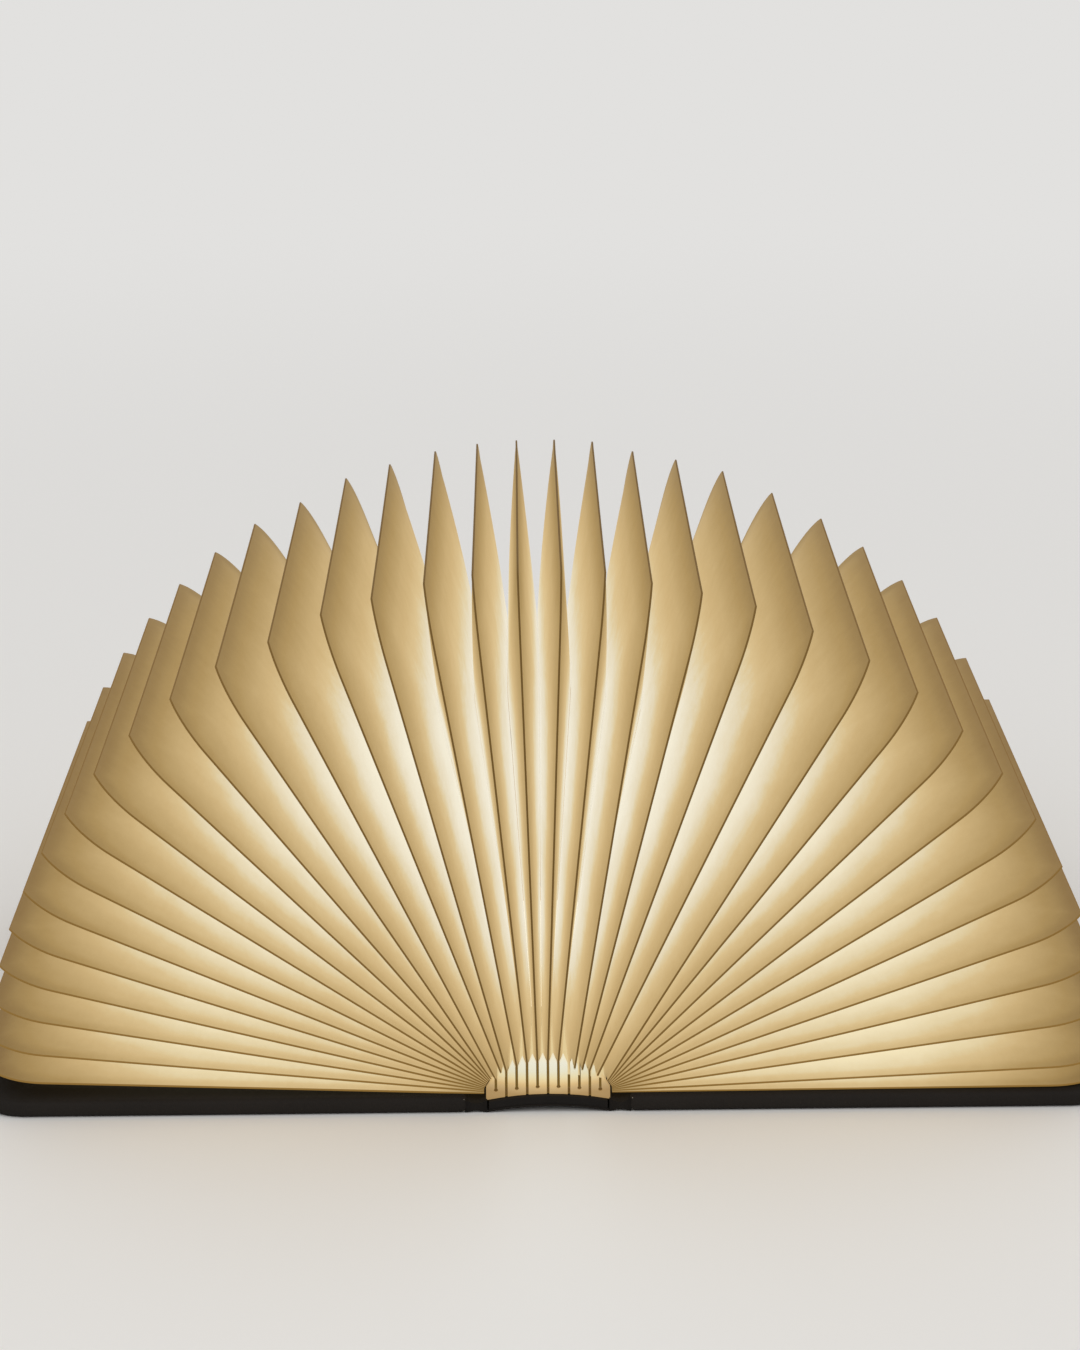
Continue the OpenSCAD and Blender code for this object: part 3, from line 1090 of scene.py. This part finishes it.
    def place(self, k: float, r: float, y: float) -> np.ndarray:
        """A point of plane k.

        Args:
            k: The plane's number.
            r: Distance from its root, below 0 straight down into the comb.
            y: Place along the spine.

        Returns:
            The point.
        """
        x, z = self.root(k)
        if r < 0:
            return np.array([x, y, z + r])
        a = math.radians(self.angle(k))
        return np.array([x + r * math.cos(a), y, z + r * math.sin(a)])

    def lean(self, k: float) -> float:
        """How far plane k turns for each degree of its cover, with its sign for the right side."""
        return (90.0 - self.angle(k)) / 90.0


@dataclass
class Leaf:
    """One hollow leaf: two sheets joined by a narrow flange along the outer rim."""

    law: FanLaw
    number: int
    sheet: float = 0.12

    # The glued rim
    flange: float = 1.3
    half_rim: float = 0.18
    rim_share: float = 0.6
    rim_edge: float = 0.7
    edge_round: float = 0.1

    # The sheet from the rim to the valley, where its points stand and how it bellies out
    across: tuple[float, ...] = (0.06, 0.13, 0.22, 0.33, 0.46, 0.60, 0.75, 0.89, 1.0)
    least_gap: float = 0.01
    belly: float = 0.25
    full_belly: float = 3.0
    sway: float = 0.15
    sway_turn: float = 5.0
    page_turn: float = 1.7
    sheet_turn: float = 2.3

    # The points along the rim
    near_root: tuple[float, float] = (0.7, 1.6)
    straight_from: float = 2.5
    straight_steps: int = 14
    corner_steps: int = 9
    fore_steps: int = 12

    # Where a sheet's foot falls behind the comb, and how far out the comb still holds a page
    foot_rows: int = 3
    drop: tuple[float, float] = (0.07, 0.16)
    hold: tuple[float, float] = (0.5, 2.0)

    def _run(
        self, k: float, reach: float, inset: float, radius: float, turn: float
    ) -> list[tuple[float, float]]:
        """The rim's or valley's path from the head root round to the tail root.

        Args:
            k: Plane that it lies in.
            reach: Farthest distance from the root.
            inset: Distance from the head and tail edges.
            radius: Radius of the curve before the fore edge.
            turn: How far that curve turns before it meets the fore edge, in degrees.

        Returns:
            Pairs of distance from the root and place along the spine.
        """
        half = self.law.height / 2
        first, steps = self.straight_from, self.straight_steps
        straight = reach - radius * math.sin(math.radians(turn))
        rest = [first + (straight - first) * (i / steps) for i in range(1, steps)]
        path: list[tuple[float, float]] = []
        for end in End:
            begin = self.law.start(k, end)
            hanging = begin < 0
            near = (begin / 2, 0.0) if hanging else (begin + step for step in self.near_root)
            piece = [(r, inset) for r in (begin, *near, first, *rest)]
            for i in range(self.corner_steps + 1):
                t = math.radians(turn * i / self.corner_steps)
                piece.append((straight + radius * math.sin(t), inset + radius * (1 - math.cos(t))))
            if end is End.HEAD:
                path += [(r, y - half) for r, y in piece]
                span = half - inset - radius * (1 - math.cos(math.radians(turn)))
                fore = range(1, self.fore_steps)
                path += [(reach, -span + 2 * span * i / self.fore_steps) for i in fore]
            else:
                path += [(r, half - y) for r, y in reversed(piece)]
        return path

    def build(self) -> Draft:
        """Draft the leaf's mesh.

        Returns:
            The draft. Its weights say how far each point follows the page's body.
        """
        law, k = self.law, self.number
        rim = self._run(k, law.length, 0.0, law.corner, law.corner_turn)
        valleys = {
            s: self._run(k + 0.5 * s, law.length - law.fold, law.fold, law.valley_corner, 90.0)
            for s in (1, -1)
        }
        draft = Draft(f"leaf_{k:02d}")
        rows: list[list[int]] = []
        for i, (r0, y0) in enumerate(rim):
            near = min(i, len(rim) - 1 - i) < self.foot_rows
            phase = self.sway_turn * i / len(rim)
            after, before = (
                self._row(draft, s, (r0, y0), valleys[s][i], near, phase) for s in (1, -1)
            )
            middle = self._add(draft, law.place(k, r0, y0), r0, 0.0, 0.0, self._turn(k))
            rows.append(before[::-1] + [middle] + after)
        draft.bridge(rows, closed=False)
        return draft

    def _row(
        self,
        draft: Draft,
        s: int,
        rim: tuple[float, float],
        valley: tuple[float, float],
        near: bool,
        phase: float,
    ) -> list[int]:
        """Add one row of a sheet's points, from the rim to the valley.

        Args:
            draft: The leaf's mesh.
            s: 1 for the sheet that faces the next page, -1 for the other.
            rim: The row's point on the rim: distance from the root, and place along the spine.
            valley: Its point on the valley.
            near: True beside the root, where the sheet drops behind the comb.
            phase: How far round the rim the row is, for the sway of the sheet.

        Returns:
            The points' indices.
        """
        law, k = self.law, self.number
        (r0, y0), (r1, y1) = rim, valley
        to_valley = law.place(k + 0.5 * s, r1, y1) - law.place(k, r1, y1)
        gap = float(np.linalg.norm(to_valley))
        n = to_valley / gap
        wide = max(gap - law.clear, self.least_gap)
        depth = math.hypot(r1 - r0, y1 - y0)
        lip = self.flange / depth
        half_rim = min(self.half_rim, self.rim_share * wide)
        turns = self.page_turn * k + self.sheet_turn * s + phase
        bulge = self.belly + self.sway * math.sin(turns)
        rim_turn, valley_turn = self._turn(k), self._turn(k + 0.5 * s)
        row: list[int] = []
        for u in (0.0, self.edge_round / depth, lip, *(lip + (1 - lip) * a for a in self.across)):
            v = max(0.0, (u - lip) / (1 - lip))
            fall = self._fall(u) if near else u
            r, y = r0 + (r1 - r0) * fall, y0 + (y1 - y0) * u
            puff = bulge * min(1.0, wide / self.full_belly) * 4 * v * (1 - v)
            off = half_rim * (self.rim_edge if u == 0 else 1.0) + (wide - half_rim) * v + puff
            turn = rim_turn + (valley_turn - rim_turn) * u
            row.append(self._add(draft, law.place(k, r, y) + n * off, r, u, u * depth, turn))
        return row

    def _add(
        self, draft: Draft, place: np.ndarray, r: float, share: float, edge: float, turn: float
    ) -> int:
        """Add a point of the leaf with what its finish reads and how far it follows the page.

        Args:
            draft: The leaf's mesh.
            place: The point.
            r: Distance from the root.
            share: Way from the rim, 0, to the valley, 1.
            edge: Distance from the rim.
            turn: Turn of the point for each unit of the page's own turn.

        Returns:
            Its index.
        """
        law, k = self.law, self.number
        below, length = self.hold
        draft.weights.append(turn * (ease((r + below) / length) if law.in_comb(k) else 1.0))
        low = min(1.0, abs(law.lean(k)))
        return draft.add(place, reach=max(0.0, r) / law.length, share=share, edge_mm=edge, low=low)

    def _fall(self, u: float) -> float:
        """How far the foot of a sheet has dropped behind the comb, from rim to valley."""
        start, width = self.drop
        return ease((u - start) / width)

    def _turn(self, k: float) -> float:
        """Turn of a plane for each unit of the turn of the leaf's own body.

        Args:
            k: The plane's number.

        Returns:
            The share of the turn, not below 0.
        """
        law, own = self.law, self.law.lean(self.number)
        if not 1 <= self.number <= law.pages:
            own = math.copysign(1.0, own)
        lean = law.lean(k) if 0 <= k <= law.pages + 1 else math.copysign(1.0, own)
        return max(0.0, lean / own)


@dataclass
class LeafFan:
    """All leaves: the free ones, and the two bonded to the covers."""

    law: FanLaw
    finish: GlowingSheet
    soft_edge: float = 60.0

    def make(self) -> None:
        """Build, dress and attach every leaf."""
        material = self.finish.material()
        for k in range(self.law.pages + 2):
            leaf = Leaf(self.law, k)
            draft = leaf.build()
            made = draft.make(self.soft_edge)
            thicken(made, "sheet", leaf.sheet)
            dress(made, material)
            node, body = self._names(k)
            x, z = self.law.root(k)
            root = (x * MM, 0.0, z * MM)
            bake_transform(made, "spine", body, start=root, end=(root[0], 0.0, root[2] + 0.02))
            set_weights(made, draft.weights)
            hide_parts(node)
            log.info("leaf %02d stands for %s", k, node)

    def _names(self, k: int) -> tuple[str, str]:
        """Node and body of a leaf.

        Args:
            k: Its number, 0 and 34 for the bonded ones.

        Returns:
            The node and the body.
        """
        if k == 0:
            return "right_end_leaf", Side.RIGHT.cover
        if k == self.law.pages + 1:
            return "left_end_leaf", Side.LEFT.cover
        return f"page_{k:02d}", f"page_{k:02d}"


# Covers and spine


@dataclass
class Cover:
    """A board wrapped in cloth: soft edges, round fore corners, cloth turned in over the inner face.

    The rings under and over the cover are pairs of an inset from the edge and a share of wear.
    """

    side: Side
    cloth: BookCloth
    skin: float = 0.36
    soft_edge: float = 50.0

    # The plan
    inner: float = COVER_INNER
    reach: float = 108.6
    half: float = 60.0
    corner: float = 10.0
    inner_corner: float = 0.9
    least_corners: tuple[float, float] = (0.6, 0.3)
    corner_steps: int = 12
    side_steps: int = 12

    # The section
    thick: float = COVER_THICK
    edge: float = 1.15
    edge_steps: int = 8
    under: tuple[tuple[float, float], ...] = ((3.2, 0.0), (1.9, 0.1))
    over: tuple[tuple[float, float], ...] = ((2.4, 0.1), (6.0, 0.0))
    turn_in: float = 12.0
    turn_in_sink: float = 0.01

    # Wear and waviness
    face_wear: float = 0.55
    edge_wear: float = 0.45
    rub: float = 0.55
    uneven: float = 0.02
    uneven_turn: float = 0.35
    side_turn: float = 2.0

    def _outline(self, inset: float) -> list[tuple[float, float]]:
        """Plan of the cover.

        Args:
            inset: How far inside the cover's own edge.

        Returns:
            X and Y around the cover, on the right side.
        """
        x0, x1, y1 = self.inner + inset, self.reach - inset, self.half - inset
        least_fore, least_inner = self.least_corners
        fore = max(self.corner - inset, least_fore)
        inner = max(self.inner_corner - inset * 0.5, least_inner)
        arcs: list[list[tuple[float, float]]] = []
        for cx, cy, radius, turn in (
            (x1 - fore, -y1 + fore, fore, -90),
            (x1 - fore, y1 - fore, fore, 0),
            (x0 + inner, y1 - inner, inner, 90),
            (x0 + inner, -y1 + inner, inner, 180),
        ):
            steps = range(self.corner_steps + 1)
            angles = [math.radians(turn + 90 * i / self.corner_steps) for i in steps]
            arcs.append([(cx + radius * math.cos(a), cy + radius * math.sin(a)) for a in angles])
        return self._dense(arcs)

    def _dense(self, arcs: list[list[tuple[float, float]]]) -> list[tuple[float, float]]:
        """Split the long straight sides, so that the cloth has points to move.

        Args:
            arcs: The points of each corner.

        Returns:
            The plan, with points between the corners.
        """
        full: list[tuple[float, float]] = []
        for arc, following in zip(arcs, arcs[1:] + arcs[:1]):
            (xa, ya), (xb, yb) = arc[-1], following[0]
            full += arc
            for i in range(1, self.side_steps):
                t = i / self.side_steps
                full.append((xa + (xb - xa) * t, ya + (yb - ya) * t))
        return full

    def _rings(self) -> list[tuple[float, float, float]]:
        """Rings of the wrap, from the underside over the edge to the end of the turn-in.

        Returns:
            Inset, height and wear of each ring.
        """
        rings = [(inset, 0.0, wear) for inset, wear in self.under]
        for i in range(self.edge_steps + 1):
            a = math.radians(-90 + 180 * i / self.edge_steps)
            z = self.edge + self.edge * math.sin(a)
            if i > self.edge_steps / 2:
                z += self.thick - 2 * self.edge
            wear = self.face_wear + self.edge_wear * abs(math.cos(a))
            rings.append((self.edge - self.edge * math.cos(a), z, wear))
        rings += [(inset, self.thick, wear) for inset, wear in self.over]
        return rings + [(self.turn_in, self.thick - self.turn_in_sink, 0.0)]

    def build(self) -> bpy.types.Object:
        """Build the cloth wrap.

        Returns:
            The piece.
        """
        draft = Draft(f"{self.side.word}_cover_wrap")
        sign = self.side.value
        rows: list[list[int]] = []
        for inset, z, wear in self._rings():
            row = []
            uneven = self.uneven if 0 < z < self.thick else 0.0
            for i, (x, y) in enumerate(self._outline(inset)):
                lift = uneven * math.sin(self.uneven_turn * i + self.side_turn * sign)
                row.append(draft.add((sign * x, y, z + lift), wear=wear * self.rub))
            rows.append(row)
        draft.bridge(rows, closed=True)
        draft.faces.append(tuple(rows[0]))
        made = draft.make(self.soft_edge)
        self._face_out(made.data)
        thicken(made, "cloth", self.skin)
        return made

    @staticmethod
    def _face_out(mesh: bpy.types.Mesh) -> None:
        """Turn the cloth's faces so that the underside looks down.

        Args:
            mesh: The wrap's mesh.
        """
        underside = max(mesh.polygons, key=lambda face: face.area)
        if underside.normal.z > 0:
            mesh.flip_normals()

    def make(self) -> None:
        """Build, dress and attach the cover."""
        made = self.build()
        dress(made, self.cloth.material())
        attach(made, self.side.cover)
        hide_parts(f"{self.side.word}_cover_cloth")
        log.info("%s replaces the plain wrap", made.name)


@dataclass
class Spine:
    """The bowed spine strip with its cloth, and the soft joints to the covers."""

    cloth: BookCloth
    half: float = STRIP_HALF
    core: float = 1.55
    skin: float = 0.45
    touch: float = 0.02
    soft_edge: float = 50.0

    # The strip, with the places along it where its sections stand
    end: float = 59.6
    columns: int = 24
    stations: tuple[float, ...] = (30.0, 0.0)
    round_length: float = 0.15
    round_depth: float = 0.1
    round_narrowing: float = 0.02
    end_wear: float = 0.3

    # The joints
    inner: float = COVER_INNER
    joint_under: float = 0.25
    joint_end: float = 59.55
    joint_columns: int = 12
    joint_rows: int = 15
    joint_foot: float = 0.10
    joint_top: float = 2.42
    groove_below: float = 0.42
    groove_above: float = 0.55
    joint_wear: float = 0.25
    joint_soft_edge: float = 60.0

    def arch(self, x: float) -> float:
        """Height of the strip's top at x."""
        return STRIP_TOP - STRIP_FALL * x * x

    def strip(self) -> bpy.types.Object:
        """Build the cloth under the strip, rounded off at both ends.

        Returns:
            The piece.
        """
        draft = Draft("spine_wrap")
        across = [-self.half + 2 * self.half * i / self.columns for i in range(self.columns + 1)]
        section = [(x, self.arch(x) - self.core - self.skin, 1) for x in across]
        section += [(x, self.arch(x) - self.core - self.touch, -1) for x in reversed(across)]
        rows: list[list[int]] = []
        along = (self.end, self.end - self.round_length, *self.stations)
        for y in [-y for y in along] + list(reversed(along[:-1])):
            last = abs(y) == self.end
            depth = self.round_depth if last else 0.0
            narrow = 1 - depth * self.round_narrowing
            wear = self.end_wear if last else 0.0
            rows.append([draft.add((x * narrow, y, z + depth * up), wear=wear) for x, z, up in section])
        draft.tube(rows)
        return draft.make(self.soft_edge)

    def joint(self, side: Side) -> Draft:
        """Draft one soft joint, a band with a shallow groove on both faces.

        Args:
            side: The side it serves.

        Returns:
            The draft. Its weights say how far each point follows the cover.
        """
        draft = Draft(f"{side.word}_soft_joint")
        x0, x1 = self.half + self.touch, self.inner + self.joint_under
        shares = [i / self.joint_columns for i in range(self.joint_columns + 1)]
        section = [(t, self.joint_foot + self.groove_below * self._dip(t)) for t in shares]
        section += [(t, self.joint_top - self.groove_above * self._dip(t)) for t in reversed(shares)]
        rows: list[list[int]] = []
        for y in np.linspace(-self.joint_end, self.joint_end, self.joint_rows):
            row = []
            for t, z in section:
                x = side.value * (x0 + (x1 - x0) * t)
                row.append(draft.add((x, float(y), z), wear=self.joint_wear * t * (1 - t) * 4))
                draft.weights.append(ease(t))
            rows.append(row)
        draft.tube(rows)
        return draft

    @staticmethod
    def _dip(t: float) -> float:
        """Share of the groove's depth across the joint."""
        return math.sin(math.pi * t) ** 2

    def make(self) -> None:
        """Build, dress and attach the strip and both joints."""
        material = self.cloth.material()
        strip = self.strip()
        dress(strip, material)
        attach(strip, "spine")
        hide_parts("spine_cloth")
        for side in Side:
            draft = self.joint(side)
            made = draft.make(self.joint_soft_edge)
            dress(made, material)
            sign = side.value * MM
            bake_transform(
                made, "spine", side.cover,
                start=(self.half * sign, 0.0, 0.0016), end=(self.inner * sign, 0.0, 0.0016),
            )
            set_weights(made, draft.weights)
            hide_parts(f"{side.word}_joint_cloth")
            log.info("%s bends between the spine and the %s cover", made.name, side.word)


@dataclass
class Comb:
    """A slotted comb, taken from its solid and softened on every edge as a moulding is."""

    end: End
    finish: MilkyPlastic
    soften: float = 0.13
    same_place: float = 1e-7
    flat: float = 1.0
    sharp: float = 28.0
    soft_edge: float = 35.0

    def build(self, node: str) -> bpy.types.Object:
        """Copy the solid's mesh, join its flat faces and round its edges.

        Args:
            node: The solid.

        Returns:
            The piece.
        """
        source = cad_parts[node]
        mesh = source.data.copy()
        mesh.name = f"{node}_moulding"
        mesh.transform(source.matrix_world)
        draft = bmesh.new()
        draft.from_mesh(mesh)
        bmesh.ops.remove_doubles(draft, verts=draft.verts, dist=self.same_place)
        flat = math.radians(self.flat)
        bmesh.ops.dissolve_limit(draft, angle_limit=flat, verts=draft.verts, edges=draft.edges)
        draft.to_mesh(mesh)
        draft.free()
        made = bpy.data.objects.new(f"{node}_moulding", mesh)
        bpy.context.scene.collection.objects.link(made)
        bevel = made.modifiers.new("soft_edges", "BEVEL")
        bevel.width = self.soften * MM
        bevel.segments = 2
        bevel.limit_method = "ANGLE"
        bevel.angle_limit = math.radians(self.sharp)
        bevel.harden_normals = False
        settle(made, self.soft_edge)
        return made

    def make(self) -> None:
        """Build, dress and attach the comb."""
        node = f"comb_{self.end.word}"
        made = self.build(node)
        dress(made, self.finish.material())
        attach(made, "spine")
        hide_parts(node)
        log.info("%s softened from %s", made.name, node)


# Inside parts


def plated_magnet(name: str) -> PlainFinish:
    """Bright plating on a magnet."""
    colour = (0.70, 0.70, 0.72)
    return PlainFinish(name, colour, grain=900.0, depth=0.00003, roughness=0.25, metallic=1.0)


def grey_board(name: str) -> PlainFinish:
    """Coarse grey pressed board."""
    colour = (0.36, 0.32, 0.26)
    return PlainFinish(name, colour, grain=420.0, depth=0.00015, roughness=0.85, variety=0.3)


@dataclass
class Workings:
    """The hard parts inside the spine and the covers, which keep their solids."""

    finishes: dict[str, PlainFinish | LinedCore] = field(
        default_factory=lambda: {
            "spine_core": LinedCore(),
            "cell_tray": PlainFinish(
                "tray_white", (0.80, 0.79, 0.75), grain=1200.0, depth=0.00003, roughness=0.45
            ),
            "battery_cell": PlainFinish(
                "cell_foil", (0.62, 0.63, 0.65), grain=300.0, depth=0.00006, roughness=0.32,
                metallic=0.85, variety=0.1,
            ),
            "cell_leads": PlainFinish(
                "lead_red", (0.55, 0.05, 0.04), grain=1500.0, depth=0.00002, roughness=0.4
            ),
            "light_board": PlainFinish(
                "mask_white", (0.82, 0.82, 0.80), grain=900.0, depth=0.00002, roughness=0.35
            ),
            "light_emitters": PlainFinish(
                "emitter_yellow", (0.98, 0.86, 0.48), grain=1500.0, depth=0.00002, roughness=0.35,
                glow=1.0,
            ),
            # The diffuser's glow is painted light from the emitters behind it
            "light_diffuser": PlainFinish(
                "frosted_diffuser", (0.95, 0.92, 0.82), grain=1800.0, depth=0.00004,
                roughness=0.55, glow=0.6,
            ),
            "light_lead": PlainFinish(
                "amber_film", (0.62, 0.34, 0.08), grain=800.0, depth=0.00002, roughness=0.3
            ),
            # A pale board, its colour warmed and its glow painted as the light of the lamp inside the spine
            "charge_board": PlainFinish(
                "mask_pale_painted_glow", (0.62, 0.47, 0.24), grain=800.0, depth=0.00003, roughness=0.35,
                glow=0.6,
            ),
            "charge_inlet": PlainFinish(
                "drawn_steel", (0.66, 0.66, 0.68), grain=600.0, depth=0.00003, roughness=0.3,
                metallic=1.0, variety=0.12, stretch=(1, 8, 1),
            ),
            "hall_sensor": PlainFinish(
                "chip_black", (0.03, 0.03, 0.032), grain=2500.0, depth=0.00002, roughness=0.55
            ),
            "sensor_magnet": plated_magnet("plated_magnet"),
            "right_cover_magnets": plated_magnet("plated_magnet_right"),
            "left_cover_magnets": plated_magnet("plated_magnet_left"),
            "right_cover_board": grey_board("grey_board_right"),
            "left_cover_board": grey_board("grey_board_left"),
        }
    )

    def make(self) -> None:
        """Dress each solid that stays."""
        for node, finish in self.finishes.items():
            dress(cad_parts[node], finish.material())
            log.info("%s dressed as %s", node, finish.name)


# Studio


@dataclass(frozen=True)
class SoftLamp:
    """A square soft lamp: its place, size and aim in metres, and its power in watts."""

    name: str
    place: Point
    power: float
    size: float = 1.6
    aim: Point = (0.0, 0.0, 0.04)

    def hang(self) -> None:
        """Put the lamp in the scene, aimed at the book."""
        data = bpy.data.lights.new(self.name, "AREA")
        data.size = self.size
        data.energy = self.power
        made = bpy.data.objects.new(self.name, data)
        made.location = self.place
        made.rotation_mode = "QUATERNION"
        made.rotation_quaternion = (Vector(self.aim) - Vector(self.place)).to_track_quat("-Z", "Y")
        bpy.context.scene.collection.objects.link(made)


@dataclass
class Studio:
    """Camera, pale floor and soft light."""

    eye: Point = (-4.78, -667.6, 271.8)
    yaw: float = 0.365
    pitch: float = 16.97
    roll: float = 0.465
    focal_px: float = 3501.6
    long_px: float = 1350.0
    sensor: float = 36.0
    clip: tuple[float, float] = (0.01, 60.0)
    pale: Colour = (0.88, 0.87, 0.85)
    far: Colour = (0.76, 0.752, 0.738)
    floor_half: float = 20000.0
    floor_drop: float = 0.02
    floor_roughness: float = 0.8
    fade: Step = (0.55, 0.4)
    soft: Colour = (1.0, 0.99, 0.98)
    soft_strength: float = 0.45
    lamps: tuple[SoftLamp, ...] = (
        SoftLamp("key", (-0.9, -1.1, 1.5), 11.0),
        SoftLamp("fill", (1.2, -0.8, 1.2), 6.0),
        SoftLamp("top", (0.1, 0.7, 1.7), 6.0),
    )

    def camera(self) -> None:
        """Set the camera as the photograph was taken."""
        data = bpy.data.cameras.new("camera")
        data.sensor_width = self.sensor
        data.sensor_fit = "AUTO"
        data.lens = self.focal_px * self.sensor / self.long_px
        data.clip_start, data.clip_end = self.clip
        made = bpy.data.objects.new("camera", data)
        bpy.context.scene.collection.objects.link(made)
        turn = (
            Matrix.Rotation(-math.radians(self.yaw), 4, "Z")
            @ Matrix.Rotation(math.radians(90.0 - self.pitch), 4, "X")
            @ Matrix.Rotation(-math.radians(self.roll), 4, "Z")
        )
        made.matrix_world = Matrix.Translation(Vector(self.eye) * MM) @ turn
        bpy.context.scene.camera = made

    def floor(self) -> None:
        """Lay the pale floor, lit near the lamp and even far away."""
        draft = Draft("studio_floor")
        far, z = self.floor_half, -self.floor_drop
        corners = ((-far, -far, z), (far, -far, z), (far, far, z), (-far, far, z))
        draft.faces.append(tuple(draft.add(corner) for corner in corners))
        made = draft.make()
        g = Graph("pale_floor")
        values = {"Base Color": (*self.pale, 1.0), "Roughness": self.floor_roughness}
        lit = g.node("ShaderNodeBsdfPrincipled", None, values)
        even = g.node("ShaderNodeEmission", None, {"Color": (*self.far, 1.0), "Strength": 1.0})
        x, y, _ = g.parts(g.place())
        away = (x * x + y * y) ** 0.5
        dress(made, g.close(g.either(away.above(*self.fade) * g.seen(), lit, even)))

    def light(self) -> None:
        """Hang the soft lamps, in a soft world that looks as pale as the floor."""
        for lamp in self.lamps:
            lamp.hang()
        g = Graph("studio", world=True)
        values = {"Color": (*self.soft, 1.0), "Strength": self.soft_strength}
        soft = g.node("ShaderNodeBackground", None, values)
        even = g.node("ShaderNodeBackground", None, {"Color": (*self.far, 1.0), "Strength": 1.0})
        bpy.context.scene.world = g.close(g.either(g.seen(), soft, even))

    def make(self) -> None:
        """Set everything that isn't the object."""
        self.camera()
        self.floor()
        self.light()
        bpy.context.scene.view_settings.view_transform = "Standard"


def main() -> None:
    """Build the lamp, piece by piece."""
    logging.basicConfig(level=logging.INFO, format="%(message)s")
    Studio().make()
    cloth = BookCloth()
    for side in Side:
        Cover(side, cloth).make()
    Spine(cloth).make()
    LeafFan(FanLaw(), GlowingSheet()).make()
    for end in End:
        Comb(end, MilkyPlastic(f"milky_comb_{end.word}", end.value * COMB_FACE)).make()
    Workings().make()


if __name__ == "__main__":
    main()
